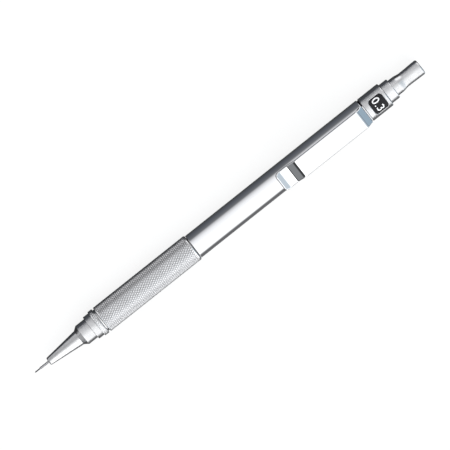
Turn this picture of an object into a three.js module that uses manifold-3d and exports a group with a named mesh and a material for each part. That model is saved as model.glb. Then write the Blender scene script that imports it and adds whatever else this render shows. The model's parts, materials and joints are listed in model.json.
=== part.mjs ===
// A metal mechanical pencil for 0.3 mm lead, lying on its grip with the clip straight up.
// Units are millimetres, +Z is up and the pencil's axis is X, with the tip towards -X.
// Every piece is drawn in stations: the distance along the axis from the end of the writing lead.

import * as THREE from "three";
import { mergeVertices } from "three/addons/utils/BufferGeometryUtils.js";
import Module from "manifold-3d";

const wasm = await Module();
wasm.setup();

// ---------- driving dimensions ----------

const OVERALL = 140;
const SIDES = 24; // facets around a large turned piece
const FINE_SIDES = 12; // facets around a thin one
const ROUNDING_STEPS = 3; // chords in a rounded edge

// Stations along the axis.
const SLEEVE_TIP = 1.87;
const NOSE_TIP = 4.93;
const CONE_END = 15.95;
const SHOULDER_END = 17.2;
const FIRST_STEP_END = 20.3;
const SECOND_STEP_END = 22.25;
const NOSE_END = 23.7;
const GRIP_FRONT = 24.3;
const GRIP_REAR = 57.4;
const BARREL_FRONT = 57.5;
const BARREL_REAR = 119.5;
const CAP_FRONT = 120;
const CAP_REAR = 127.25;
const COLLAR_REAR = 130.05;

// Outside radii.
const NOSE_TIP_R = 1.2;
const CONE_END_R = 2.35;
const FIRST_STEP_R = 3.25;
const SECOND_STEP_R = 3.825;
const GRIP_R = 4.2;
const BARREL_R = 3.875;
const CAP_R = 3.85;
const COLLAR_R = 3.25;
const BUTTON_BASE_R = 2.625;
const BUTTON_WAIST_R = 2.325;
const BUTTON_END_R = 2.425;

// Clearances and small edges.
const RUNNING_GAP = 0.05; // between pieces that fit one in the other
const SLIDING_GAP = 0.08; // between pieces that turn or slide on each other
const LABEL_GAP = 0.1; // all round the label in its pocket
const EDGE = 0.12; // broken edge of a turned piece

// Lead and the parts that hold it.
const LEAD_R = 0.19;
const LEAD_LENGTH = 60;
const LEAD_BORE_R = 0.24;
const SLEEVE_R = 0.33;
const FLANGE_FRONT = 8;
const FLANGE_REAR = 8.8;
const FLANGE_R = 0.75;
const RETAINER_FRONT = 9.05;
const RETAINER_REAR = 11.5;
const RETAINER_R = 0.95;
const CHUCK_HEAD_R = 1.3;
const CHUCK_SHANK_R = 0.85;
const CHUCK_FRONT = 15.2;
const CHUCK_REAR = 37.9;
const JAW_SLOT = 0.25;
const JAW_LENGTH = 8.8;
const CLUTCH_RING_R = 1.65;
const CLUTCH_RING_FRONT = 16.5;
const CLUTCH_RING_REAR = 18.7;

// Core sleeve, spring and magazine.
const THREAD_R = 2.6;
const CORE_R = 3.1;
const CORE_FRONT = 18.8;
const CORE_REAR = 49.9;
const SPRING_CHAMBER_R = 1.95;
const SLEEVE_MOUTH_R = 1.15;
const SPRING_SHOULDER = 24.2;
const SPRING_FRONT = 24.76;
const SPRING_REAR = 32.94;
const SPRING_MEAN_R = 1.35;
const SPRING_WIRE_R = 0.2;
const SPRING_TURNS = 7.5;
const TUBE_R = 1.8;
const TUBE_BORE_R = 1.5;
const TUBE_FRONT = 39;
const TUBE_REAR = 133.2;
const SPARE_LEAD_FRONT = 64;

// Rear end.
const SPIGOT_R = 3.22;
const BUSH_FRONT = 123;
const BUSH_R = 3.05;
const COLLAR_BORE_R = 2.72;
const BUTTON_FRONT = 128.6;
const BUTTON_BORE_R = 1.86;
const LABEL_FRONT = 121.5;
const LABEL_LENGTH = 4.8;
const LABEL_WIDTH = 5;
const LABEL_CORNER_R = 1.1;
const LABEL_FLOOR_R = 3.55;
const LABEL_TOP_R = 3.8;

// Clip.
const CLIP_WIDTH = 6;
const CLIP_THICKNESS = 0.8;
const CLIP_TOP_R = 5.9;
const CLIP_FOOT = 87.95;
const CLIP_DIP = 92.35;
const CLIP_FLAT_FRONT = 95.1;
const CLIP_FLAT_REAR = 117.45;
const CLIP_CORNER_R = 1.2;
const CLIP_EDGE_R = 0.25;
const CLIP_RING_THICKNESS = 0.4;

// ---------- materials ----------

const finish = (color, metalness, roughness) =>
  new THREE.MeshStandardMaterial({ color, metalness, roughness });

const MATERIAL = {
  satinSteel: finish(0xc4c6c9, 1, 0.38),
  knurledSteel: finish(0xb4b6b9, 1, 0.42),
  mirrorChrome: finish(0xe6e8ec, 1, 0.06),
  steel: finish(0x9fa2a6, 1, 0.3),
  brass: finish(0xc9a55a, 1, 0.35),
  graphite: finish(0x2c2c2e, 0.3, 0.55),
  blackRubber: finish(0x141414, 0, 0.8),
  whiteRubber: finish(0xf2f2ee, 0, 0.85),
  labelBlack: finish(0x101012, 0, 0.25),
  magazine: finish(0xd9dcdc, 0, 0.45),
};

// ---------- shape helpers ----------

// A solid turned about the pencil's axis from [station, radius] corners. The radii are those of
// the flats, and a flat faces down, so that the pencil lies on one.
function turned(corners, sides = SIDES) {
  const acrossFlats = 1 / Math.cos(Math.PI / sides);
  const points = corners.map(([station, radius]) => new THREE.Vector2(radius * acrossFlats, station));
  if (THREE.ShapeUtils.area(points) < 0) points.reverse();
  const first = points[0];
  if (first.x > 0) points.push(first.clone());
  return new THREE.LatheGeometry(points, sides, Math.PI / sides).rotateZ(-Math.PI / 2);
}

// Corners of a rounded edge: an arc about [station, radius], from one angle to another in degrees.
// An angle of 0 looks towards the button, and 90 looks outwards.
function arc(station, radius, edge, from, to) {
  return Array.from({ length: ROUNDING_STEPS + 1 }, (_, step) => {
    const angle = THREE.MathUtils.degToRad(from + ((to - from) * step) / ROUNDING_STEPS);
    return [station + edge * Math.cos(angle), radius + edge * Math.sin(angle)];
  });
}

// A straight piece of pipe.
function pipe(front, rear, radius, bore, sides = SIDES) {
  const corners = [
    [front, bore],
    [front, radius],
    [rear, radius],
    [rear, bore],
  ];
  return turned(corners, sides);
}

// A straight solid rod.
function rod(front, rear, radius, sides = SIDES) {
  const corners = [
    [front, 0],
    [front, radius],
    [rear, radius],
    [rear, 0],
  ];
  return turned(corners, sides);
}

// A closed outline in station and height, pulled out sideways to a width, with its edges rounded.
function pulled(outline, width, edge) {
  const geometry = new THREE.ExtrudeGeometry(new THREE.Shape(outline), {
    depth: width - 2 * edge,
    bevelEnabled: edge > 0,
    bevelThickness: edge,
    bevelSize: edge,
    bevelOffset: -edge,
    bevelSegments: 2,
  });
  return geometry.rotateX(Math.PI / 2).translate(0, width / 2 - edge, 0);
}

// A rounded rectangle in station and Y, as an upright block from one height to another.
function roundedBlock(front, length, width, corner, low, high) {
  const half = width / 2;
  const rear = front + length;
  const outline = new THREE.Shape();
  outline.moveTo(front + corner, -half);
  outline.lineTo(rear - corner, -half);
  outline.absarc(rear - corner, -half + corner, corner, -Math.PI / 2, 0);
  outline.lineTo(rear, half - corner);
  outline.absarc(rear - corner, half - corner, corner, 0, Math.PI / 2);
  outline.lineTo(front + corner, half);
  outline.absarc(front + corner, half - corner, corner, Math.PI / 2, Math.PI);
  outline.lineTo(front, -half + corner);
  outline.absarc(front + corner, -half + corner, corner, Math.PI, 1.5 * Math.PI);
  const options = { depth: high - low, bevelEnabled: false, curveSegments: 5 };
  return new THREE.ExtrudeGeometry(outline, options).translate(0, 0, low);
}

function box(front, rear, width, low, high) {
  const geometry = new THREE.BoxGeometry(rear - front, width, high - low);
  return geometry.translate((front + rear) / 2, 0, (low + high) / 2);
}

// ---------- solid booleans ----------

function solid(geometry) {
  const bare = geometry.clone();
  bare.deleteAttribute("normal");
  bare.deleteAttribute("uv");
  const merged = mergeVertices(bare, 1e-4);
  const mesh = new wasm.Mesh({
    numProp: 3,
    vertProperties: merged.attributes.position.array,
    triVerts: new Uint32Array(merged.index.array),
  });
  return new wasm.Manifold(mesh);
}

function surface(manifold) {
  const mesh = manifold.getMesh();
  const geometry = new THREE.BufferGeometry();
  geometry.setAttribute("position", new THREE.BufferAttribute(mesh.vertProperties, 3));
  geometry.setIndex(new THREE.BufferAttribute(mesh.triVerts, 1));
  geometry.computeVertexNormals();
  return geometry;
}

// ---------- lead, sleeve and nose ----------

function writingLead() {
  const point = 0.35;
  const corners = [
    [0, 0],
    [0, 0.1],
    [point, LEAD_R],
    [LEAD_LENGTH, LEAD_R],
    [LEAD_LENGTH, 0],
  ];
  return turned(corners, FINE_SIDES);
}

// The guide pipe, with the flange that seats it in the nose.
function leadSleeve() {
  const corners = [
    [SLEEVE_TIP, LEAD_BORE_R],
    [SLEEVE_TIP, SLEEVE_R - RUNNING_GAP],
    [SLEEVE_TIP + 2 * RUNNING_GAP, SLEEVE_R],
    [FLANGE_FRONT, SLEEVE_R],
    [FLANGE_FRONT, FLANGE_R],
    [FLANGE_REAR, FLANGE_R],
    [FLANGE_REAR, LEAD_BORE_R],
  ];
  return turned(corners, FINE_SIDES);
}

// The soft plug that keeps the lead from sliding back.
function leadRetainer() {
  return pipe(RETAINER_FRONT, RETAINER_REAR, RETAINER_R, LEAD_BORE_R, FINE_SIDES);
}

// The taper, its two steps and the knurled ring are one turned piece, screwed on the core sleeve.
function noseCone() {
  const tipEdge = 0.5;
  const coneSlope = Math.atan2(CONE_END_R - NOSE_TIP_R, CONE_END - NOSE_TIP);
  const tipArcEnd = 90 + THREE.MathUtils.radToDeg(coneSlope);
  const tipBoreR = SLEEVE_R + RUNNING_GAP;
  const flangeBoreR = FLANGE_R + RUNNING_GAP;
  const flangeBoreFront = FLANGE_FRONT - RUNNING_GAP;
  const retainerBoreR = RETAINER_R + RUNNING_GAP;
  const retainerBoreFront = FLANGE_REAR + 3 * RUNNING_GAP;
  const chuckBoreR = CHUCK_HEAD_R + SLIDING_GAP;
  const chuckBoreFront = CHUCK_FRONT - 3.3;
  const ringBoreR = CLUTCH_RING_R + SLIDING_GAP;
  const ringBoreFront = CHUCK_FRONT + 2 * RUNNING_GAP;
  const threadBoreR = THREAD_R + SLIDING_GAP;
  const threadBoreFront = CORE_FRONT - 0.2;
  const corners = [
    [NOSE_TIP, tipBoreR],
    ...arc(NOSE_TIP + tipEdge, NOSE_TIP_R - tipEdge, tipEdge, 180, tipArcEnd),
    [CONE_END, CONE_END_R],
    [SHOULDER_END, FIRST_STEP_R],
    [FIRST_STEP_END, FIRST_STEP_R],
    [FIRST_STEP_END + EDGE, SECOND_STEP_R],
    [SECOND_STEP_END, SECOND_STEP_R],
    [SECOND_STEP_END + EDGE, GRIP_R - EDGE],
    [SECOND_STEP_END + 2 * EDGE, GRIP_R],
    [NOSE_END - EDGE, GRIP_R],
    [NOSE_END, GRIP_R - EDGE],
    [NOSE_END, threadBoreR],
    [threadBoreFront, threadBoreR],
    [threadBoreFront, ringBoreR],
    [ringBoreFront, ringBoreR],
    [ringBoreFront, chuckBoreR],
    [chuckBoreFront, chuckBoreR],
    [chuckBoreFront, retainerBoreR],
    [retainerBoreFront, retainerBoreR],
    [retainerBoreFront, flangeBoreR],
    [flangeBoreFront, flangeBoreR],
    [flangeBoreFront, tipBoreR],
  ];
  return turned(corners);
}

// The plain ring at the bottom of the groove between nose cone and grip.
function spacerRing() {
  const ringR = 3.69;
  return pipe(NOSE_END + RUNNING_GAP, GRIP_FRONT - RUNNING_GAP, ringR, CORE_R + RUNNING_GAP);
}

// ---------- clutch ----------

// The split collet: a conical head on a long shank, cut into three jaws.
function chuck() {
  const coneFront = 16.3;
  const coneRear = 17.6;
  const coneRearR = 1;
  const corners = [
    [CHUCK_FRONT, LEAD_BORE_R],
    [CHUCK_FRONT, CHUCK_HEAD_R - 2 * EDGE],
    [CHUCK_FRONT + 2 * EDGE, CHUCK_HEAD_R],
    [coneFront, CHUCK_HEAD_R],
    [coneRear, coneRearR],
    [coneRear + EDGE, CHUCK_SHANK_R],
    [CHUCK_REAR, CHUCK_SHANK_R],
    [CHUCK_REAR, LEAD_BORE_R],
  ];
  let body = solid(turned(corners, FINE_SIDES));
  const slotRear = CHUCK_FRONT + JAW_LENGTH;
  for (const turn of [0, 1, 2]) {
    const slot = box(CHUCK_FRONT - 1, slotRear, JAW_SLOT, 0, 2 * CHUCK_HEAD_R);
    slot.rotateX((turn * 2 * Math.PI) / 3);
    body = body.subtract(solid(slot));
  }
  return surface(body);
}

// The ring that squeezes the jaws as the spring pulls the head into it.
function clutchRing() {
  const edge = 0.1;
  const mouthR = 1.33;
  const throatR = 1.08;
  const throatFront = 17.6;
  const corners = [
    [CLUTCH_RING_FRONT, mouthR],
    [CLUTCH_RING_FRONT, CLUTCH_RING_R - edge],
    [CLUTCH_RING_FRONT + edge, CLUTCH_RING_R],
    [CLUTCH_RING_REAR - edge, CLUTCH_RING_R],
    [CLUTCH_RING_REAR, CLUTCH_RING_R - edge],
    [CLUTCH_RING_REAR, throatR],
    [throatFront, throatR],
  ];
  return turned(corners);
}

// The threaded tube inside the grip: the clutch ring stops on its front end, and the spring
// sits in its bore.
function coreSleeve() {
  const threadRear = 23.2;
  const relief = 0.25;
  const corners = [
    [CORE_FRONT, SLEEVE_MOUTH_R],
    [CORE_FRONT, THREAD_R - EDGE],
    [CORE_FRONT + EDGE, THREAD_R],
    [threadRear, THREAD_R],
    [threadRear + EDGE, THREAD_R - relief],
    [NOSE_END + RUNNING_GAP, THREAD_R - relief],
    [NOSE_END + RUNNING_GAP, CORE_R],
    [CORE_REAR, CORE_R],
    [CORE_REAR, SPRING_CHAMBER_R],
    [SPRING_SHOULDER, SPRING_CHAMBER_R],
    [SPRING_SHOULDER, SLEEVE_MOUTH_R],
  ];
  return turned(corners);
}

class SpringCentreLine extends THREE.Curve {
  getPoint(t, target = new THREE.Vector3()) {
    const angle = 2 * Math.PI * SPRING_TURNS * t;
    const front = SPRING_FRONT + SPRING_WIRE_R;
    const travel = SPRING_REAR - SPRING_FRONT - 2 * SPRING_WIRE_R;
    const y = SPRING_MEAN_R * Math.cos(angle);
    const z = SPRING_MEAN_R * Math.sin(angle);
    return target.set(front + travel * t, y, z);
  }
}

function clutchSpring() {
  const wire = new THREE.Shape();
  wire.absarc(0, 0, SPRING_WIRE_R, 0, 2 * Math.PI);
  const stepsPerTurn = 14;
  return new THREE.ExtrudeGeometry(wire, {
    steps: Math.round(stepsPerTurn * SPRING_TURNS),
    curveSegments: 6,
    extrudePath: new SpringCentreLine(),
  });
}

function springSeat() {
  const washerR = SPRING_CHAMBER_R - 2 * RUNNING_GAP;
  const boreR = CHUCK_SHANK_R + 2 * RUNNING_GAP;
  return pipe(SPRING_SHOULDER + RUNNING_GAP, SPRING_FRONT - RUNNING_GAP, washerR, boreR);
}

// The bush that joins the chuck's shank to the lead tube, and carries the spring's rear end.
function chuckJoint() {
  const front = SPRING_REAR + RUNNING_GAP;
  const shoulder = TUBE_FRONT - RUNNING_GAP;
  const rear = 43;
  const bushR = 1.62;
  const plugR = TUBE_BORE_R - RUNNING_GAP;
  const shankBoreR = CHUCK_SHANK_R + RUNNING_GAP;
  const leadWayR = 0.45;
  const corners = [
    [front, shankBoreR],
    [front, bushR],
    [shoulder, bushR],
    [shoulder, plugR],
    [rear, plugR],
    [rear, leadWayR],
    [CHUCK_REAR + RUNNING_GAP, leadWayR],
    [CHUCK_REAR + RUNNING_GAP, shankBoreR],
  ];
  return turned(corners);
}

// ---------- magazine, eraser and push button ----------

function leadTube() {
  return pipe(TUBE_FRONT, TUBE_REAR, TUBE_R, TUBE_BORE_R);
}

// One of the spare leads that lie side by side along the bottom of the tube.
function spareLead(place) {
  const restR = TUBE_BORE_R - LEAD_R - RUNNING_GAP;
  const apart = THREE.MathUtils.degToRad(20);
  const lead = rod(SPARE_LEAD_FRONT, SPARE_LEAD_FRONT + LEAD_LENGTH, LEAD_R, FINE_SIDES);
  return lead.translate(0, restR * Math.sin(place * apart), -restR * Math.cos(place * apart));
}

// The metal cup that plugs the tube, with the flange that stops it there.
function eraserHolder() {
  const front = 128.5;
  const floor = 0.3;
  const cupR = TUBE_BORE_R - RUNNING_GAP;
  const cavityR = 1.25;
  const flangeR = 1.72;
  const flangeFront = TUBE_REAR + RUNNING_GAP;
  const flangeRear = flangeFront + 0.35;
  const corners = [
    [front, 0],
    [front, cupR],
    [flangeFront, cupR],
    [flangeFront, flangeR],
    [flangeRear, flangeR],
    [flangeRear, cavityR],
    [front + floor, cavityR],
    [front + floor, 0],
  ];
  return turned(corners);
}

function eraser() {
  const front = 128.85;
  const rear = 137;
  const radius = 1.2;
  const edge = 0.25;
  const corners = [
    [front, 0],
    [front, radius],
    ...arc(rear - edge, radius - edge, edge, 90, 0),
    [rear, 0],
  ];
  return turned(corners);
}

// The hollow cap that is pressed, waisted for the thumb, which slides into the end collar.
function pushButton() {
  const endEdge = 0.5;
  const cavityEnd = 138.6;
  const baseEnd = 131.6;
  const taperMiddle = 132.5;
  const waist = 134;
  const flareMiddle = 136.6;
  const corners = [
    [BUTTON_FRONT, BUTTON_BORE_R],
    [BUTTON_FRONT, BUTTON_BASE_R],
    [baseEnd, BUTTON_BASE_R],
    [taperMiddle, (BUTTON_BASE_R + BUTTON_WAIST_R) / 2],
    [waist, BUTTON_WAIST_R],
    [flareMiddle, (BUTTON_WAIST_R + BUTTON_END_R) / 2],
    ...arc(OVERALL - endEdge, BUTTON_END_R - endEdge, endEdge, 90, 0),
    [OVERALL, 0],
    [cavityEnd, 0],
    [cavityEnd, BUTTON_BORE_R],
  ];
  return turned(corners);
}

// ---------- grip, barrel and rear rings ----------

function grip() {
  const corners = [
    [GRIP_FRONT, CORE_R + RUNNING_GAP],
    [GRIP_FRONT, GRIP_R - EDGE],
    [GRIP_FRONT + EDGE, GRIP_R],
    ...arc(GRIP_REAR - 2 * EDGE, GRIP_R - 2 * EDGE, 2 * EDGE, 90, 0),
    [GRIP_REAR, CORE_R + RUNNING_GAP],
  ];
  return turned(corners);
}

function barrelTube() {
  const corners = [
    [BARREL_FRONT, SPIGOT_R + RUNNING_GAP],
    [BARREL_FRONT, BARREL_R - EDGE],
    [BARREL_FRONT + EDGE, BARREL_R],
    [BARREL_REAR - EDGE, BARREL_R],
    [BARREL_REAR, BARREL_R - EDGE],
    [BARREL_REAR, SPIGOT_R + RUNNING_GAP],
  ];
  return turned(corners);
}

// The threaded coupler that joins grip and barrel.
function barrelJoint() {
  const front = 50.3;
  const step = GRIP_REAR + RUNNING_GAP;
  const rear = 66;
  const boreR = 2.1;
  const corners = [
    [front, boreR],
    [front, CORE_R],
    [step, CORE_R],
    [step, SPIGOT_R],
    [rear, SPIGOT_R],
    [rear, boreR],
  ];
  return turned(corners);
}

// The rear ring, with the spigot that holds clip and barrel and a pocket for the size label.
function capRing() {
  const rearEdge = 0.3;
  const front = 113;
  const boreR = 2.6;
  const counterbore = BUSH_FRONT - 4 * RUNNING_GAP;
  const counterboreR = BUSH_R + RUNNING_GAP;
  const corners = [
    [front, boreR],
    [front, SPIGOT_R],
    [CAP_FRONT, SPIGOT_R],
    [CAP_FRONT, CAP_R - EDGE],
    [CAP_FRONT + EDGE, CAP_R],
    [CAP_REAR - rearEdge, CAP_R],
    [CAP_REAR, CAP_R - rearEdge],
    [CAP_REAR, counterboreR],
    [counterbore, counterboreR],
    [counterbore, boreR],
  ];
  return surface(solid(turned(corners)).subtract(labelPocket()));
}

function labelPocket() {
  const front = LABEL_FRONT - LABEL_GAP;
  const length = LABEL_LENGTH + 2 * LABEL_GAP;
  const width = LABEL_WIDTH + 2 * LABEL_GAP;
  const block = roundedBlock(front, length, width, LABEL_CORNER_R + LABEL_GAP, 0, 2 * CAP_R);
  return solid(block).subtract(solid(rod(front - 1, front + length + 1, LABEL_FLOOR_R)));
}

// The black plate that shows the lead size, curved to the cap ring.
function sizeLabel() {
  const block = roundedBlock(LABEL_FRONT, LABEL_LENGTH, LABEL_WIDTH, LABEL_CORNER_R, 0, 2 * CAP_R);
  const sheet = pipe(LABEL_FRONT - 1, LABEL_FRONT + LABEL_LENGTH + 1, LABEL_TOP_R, LABEL_FLOOR_R + RUNNING_GAP);
  return surface(solid(block).intersect(solid(sheet)));
}

// The narrow ring that guides the push button, with a bush inside the cap ring.
function endCollar() {
  const edge = 0.35;
  const front = CAP_REAR + RUNNING_GAP;
  const corners = [
    [BUSH_FRONT, COLLAR_BORE_R],
    [BUSH_FRONT, BUSH_R],
    [front, BUSH_R],
    ...arc(front + edge, COLLAR_R - edge, edge, 180, 90),
    ...arc(COLLAR_REAR - edge, COLLAR_R - edge, edge, 90, 0),
    [COLLAR_REAR, COLLAR_BORE_R],
  ];
  return turned(corners);
}

// ---------- clip ----------

// The middle of the clip's sheet seen from the side: a flared foot, the dip that touches the
// barrel, the slope up to the flat, and the root that comes down behind it.
function clipCentreLine() {
  const dip = BARREL_R + RUNNING_GAP + CLIP_THICKNESS / 2;
  const flat = CLIP_TOP_R - CLIP_THICKNESS / 2;
  const footLift = 0.425;
  const rootRear = 119.6;
  const rootLow = 3.35;
  const corners = [
    [CLIP_FOOT, dip + footLift],
    [CLIP_DIP, dip],
    [CLIP_FLAT_FRONT, flat],
    [CLIP_FLAT_REAR, flat],
    [rootRear, rootLow],
  ].map(([station, height]) => new THREE.Vector2(station, height));
  const bend = 0.7;
  const path = new THREE.Path();
  path.moveTo(corners[0].x, corners[0].y);
  for (let i = 1; i < corners.length - 1; i++) {
    const before = corners[i - 1].clone().sub(corners[i]).setLength(bend).add(corners[i]);
    const after = corners[i + 1].clone().sub(corners[i]).setLength(bend).add(corners[i]);
    path.lineTo(before.x, before.y);
    path.quadraticCurveTo(corners[i].x, corners[i].y, after.x, after.y);
  }
  path.lineTo(corners.at(-1).x, corners.at(-1).y);
  return path.getPoints(4);
}

// Both faces of a sheet of a given thickness about its middle line, as one closed outline.
function sheetOutline(line, thickness) {
  const side = (sign) =>
    line.map((point, i) => {
      const before = line[Math.max(i - 1, 0)];
      const after = line[Math.min(i + 1, line.length - 1)];
      const along = after.clone().sub(before).normalize();
      const across = new THREE.Vector2(-along.y, along.x);
      return point.clone().addScaledVector(across, (sign * thickness) / 2);
    });
  return [...side(-1), ...side(1).reverse()];
}

function clip() {
  const arm = pulled(sheetOutline(clipCentreLine(), CLIP_THICKNESS), CLIP_WIDTH, CLIP_EDGE_R);
  const armRear = BARREL_REAR;
  const above = BARREL_R + SLIDING_GAP;
  const plan = roundedBlock(
    CLIP_FOOT,
    2 * (armRear - CLIP_FOOT),
    CLIP_WIDTH,
    CLIP_CORNER_R,
    0,
    2 * CLIP_TOP_R,
  );
  const room = box(CLIP_FOOT - 1, armRear, 2 * CLIP_WIDTH, above, 2 * CLIP_TOP_R);
  return surface(solid(arm).intersect(solid(plan)).intersect(solid(room)));
}

// The band of the clip that is held between barrel and cap ring, with the tab that its arm
// springs from.
function clipRing() {
  const front = BARREL_REAR + RUNNING_GAP;
  const rear = front + CLIP_RING_THICKNESS;
  const bandR = 3.6;
  const tabWidth = 5.2;
  const tabLow = 3.42;
  const tabTop = 4.3;
  const band = solid(pipe(front, rear, bandR, SPIGOT_R + RUNNING_GAP));
  const tab = solid(box(front, rear, tabWidth, tabLow, tabTop));
  return surface(band.add(tab));
}

// ---------- assembly ----------

function piece(name, geometry, material) {
  const mesh = new THREE.Mesh(geometry, material);
  mesh.name = name;
  return mesh;
}

const tipEnd = new THREE.Group();
tipEnd.add(
  piece("writing_lead", writingLead(), MATERIAL.graphite),
  piece("lead_sleeve", leadSleeve(), MATERIAL.steel),
  piece("lead_retainer", leadRetainer(), MATERIAL.blackRubber),
  piece("nose_cone", noseCone(), MATERIAL.satinSteel),
  piece("spacer_ring", spacerRing(), MATERIAL.satinSteel),
);

const clutch = new THREE.Group();
clutch.add(
  piece("core_sleeve", coreSleeve(), MATERIAL.brass),
  piece("chuck", chuck(), MATERIAL.brass),
  piece("clutch_ring", clutchRing(), MATERIAL.brass),
  piece("clutch_spring", clutchSpring(), MATERIAL.steel),
  piece("spring_seat", springSeat(), MATERIAL.steel),
  piece("chuck_joint", chuckJoint(), MATERIAL.brass),
);

const magazine = new THREE.Group();
magazine.add(
  piece("lead_tube", leadTube(), MATERIAL.magazine),
  piece("eraser_holder", eraserHolder(), MATERIAL.steel),
  piece("eraser", eraser(), MATERIAL.whiteRubber),
  piece("push_button", pushButton(), MATERIAL.satinSteel),
);
[-1, 0, 1].forEach((place, i) => {
  magazine.add(piece(`spare_lead_${i + 1}`, spareLead(place), MATERIAL.graphite));
});

const casing = new THREE.Group();
casing.add(
  piece("grip", grip(), MATERIAL.knurledSteel),
  piece("barrel_tube", barrelTube(), MATERIAL.mirrorChrome),
  piece("barrel_joint", barrelJoint(), MATERIAL.brass),
  piece("cap_ring", capRing(), MATERIAL.satinSteel),
  piece("size_label", sizeLabel(), MATERIAL.labelBlack),
  piece("end_collar", endCollar(), MATERIAL.satinSteel),
  piece("clip_ring", clipRing(), MATERIAL.mirrorChrome),
  piece("clip", clip(), MATERIAL.mirrorChrome),
);

// Stations run from 0 at the lead's end, so the group puts the pencil's middle over the origin
// and its lowest flat on the ground.
const pencil = new THREE.Group();
pencil.add(tipEnd, clutch, magazine, casing);
pencil.position.set(-OVERALL / 2, 0, GRIP_R);

const part = new THREE.Group();
part.add(pencil);
export default part;
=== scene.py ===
# The looks of a metal mechanical pencil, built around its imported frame.
# Lengths are named in millimetres. A station is the distance along the pencil's axis from the tip
# of the lead, and an angle about the axis is 0 straight up, growing towards +Y.

import json
import math

import bmesh
import bpy
import numpy as np
from mathutils import Matrix, Vector

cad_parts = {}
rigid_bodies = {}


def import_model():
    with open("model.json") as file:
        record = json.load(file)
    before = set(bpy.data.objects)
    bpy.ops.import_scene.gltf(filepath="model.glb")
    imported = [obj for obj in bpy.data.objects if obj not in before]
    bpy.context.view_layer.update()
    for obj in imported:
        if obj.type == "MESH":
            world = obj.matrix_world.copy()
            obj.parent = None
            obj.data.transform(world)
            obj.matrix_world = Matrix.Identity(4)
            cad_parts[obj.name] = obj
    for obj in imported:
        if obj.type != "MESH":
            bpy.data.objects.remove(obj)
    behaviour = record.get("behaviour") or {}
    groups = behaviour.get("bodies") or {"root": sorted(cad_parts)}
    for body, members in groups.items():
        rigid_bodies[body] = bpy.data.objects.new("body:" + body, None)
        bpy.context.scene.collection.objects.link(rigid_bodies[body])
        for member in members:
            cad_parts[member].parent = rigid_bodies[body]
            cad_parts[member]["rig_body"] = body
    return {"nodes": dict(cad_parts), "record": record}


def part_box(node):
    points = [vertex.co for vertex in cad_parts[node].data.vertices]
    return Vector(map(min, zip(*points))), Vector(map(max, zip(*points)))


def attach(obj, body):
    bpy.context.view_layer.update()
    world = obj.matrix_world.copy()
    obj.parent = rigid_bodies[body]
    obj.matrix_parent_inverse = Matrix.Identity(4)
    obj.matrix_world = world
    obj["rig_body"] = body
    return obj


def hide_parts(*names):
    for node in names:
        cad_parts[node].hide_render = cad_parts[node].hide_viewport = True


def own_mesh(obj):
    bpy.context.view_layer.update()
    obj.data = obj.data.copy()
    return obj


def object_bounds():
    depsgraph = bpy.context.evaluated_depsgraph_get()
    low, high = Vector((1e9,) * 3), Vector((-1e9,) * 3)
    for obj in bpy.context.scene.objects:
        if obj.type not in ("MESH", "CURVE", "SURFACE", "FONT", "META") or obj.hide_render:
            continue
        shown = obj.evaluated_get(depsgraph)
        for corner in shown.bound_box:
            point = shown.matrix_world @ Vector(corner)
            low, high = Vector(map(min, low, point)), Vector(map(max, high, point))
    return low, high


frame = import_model()
cad_low, cad_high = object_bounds()

# ---------- driving dimensions ----------

MM = 0.001
FRONT = cad_low.x  # metres, where station 0 is

SEGMENTS = 216  # around a large turned piece: six to each start of the knurl
INNER_SEGMENTS = 96  # around a piece inside
FINE_SEGMENTS = 48  # around a thin one
EDGE = 0.1  # rounding of an ordinary turned edge
HOLD = 0.04  # how close a supporting ring stands to a rounded edge
GAP = 0.05  # between pieces that fit one in the other

# Nose.
NOSE_TIP = 4.93
NOSE_TIP_R = 1.2
CONE_END = 15.95
CONE_END_R = 2.35
SHOULDER_END = 17.2
FIRST_STEP_END = 20.3
FIRST_STEP_R = 3.25
SECOND_STEP_END = 22.25
SECOND_STEP_R = 3.825
STEP_LEAN = 0.05  # how far the face of a step leans back
RING_CHAMFER = 0.1
GRIP_REAR_CHAMFER = 0.35
THREAD_PITCH = 0.6
THREAD_DEPTH = 0.2
THREAD_R = 2.6
THREAD_REAR = 23.2
CORE_SHOULDER = 23.75
SLEEVE_MOUTH_R = 1.15
SPRING_CHAMBER_R = 1.95
SPRING_SHOULDER = 24.2

# Knurl.
KNURL_PITCH = 1.19
KNURL_STARTS = 36
KNURL_STEPS = 6  # mesh steps in one pitch
KNURL_DEPTH = 0.1

# Chuck and clutch.
CHUCK_HEAD_R = 1.3
CHUCK_SHANK_R = 0.85
CHUCK_CONE_FRONT = 16.3
CHUCK_CONE_REAR = 17.6
JAW_SLOT = 0.25
JAW_LENGTH = 8.8
LEAD_BORE_R = 0.24

# Spring.
SPRING_MEAN_R = 1.35
SPRING_WIRE_R = 0.2
SPRING_TURNS = 7.5
CLOSED_TURNS = 1.0

# Magazine and rear end.
TUBE_R = 1.8
TUBE_BORE_R = 1.5
SPIGOT_R = 3.22
BUTTON_BASE_END = 131.6
BUTTON_WAIST = 134
BUTTON_WAIST_R = 2.325
BUTTON_END_R = 2.425

# Label.
LABEL_CORNER_R = 1.1
LABEL_FLOOR_R = 3.55
LABEL_TOP_R = 3.8
LABEL_GAP = 0.1
RIM_R = 0.11
NUMERAL_HEIGHT = 2.4
NUMERAL_STROKE = 0.36
NUMERAL_RISE = 0.02

# Clip.
CLIP_THICKNESS = 0.8
CLIP_CORNER_R = 1.2
CLIP_EDGE_R = 0.37
CLIP_DIP = 92.35
CLIP_FLAT_FRONT = 95.1
CLIP_FLAT_REAR = 117.45
CLIP_BEND_R = 1.1
CLIP_FRONT_BEND_R = 4.0
CLIP_BAND_R = 3.6

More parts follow.
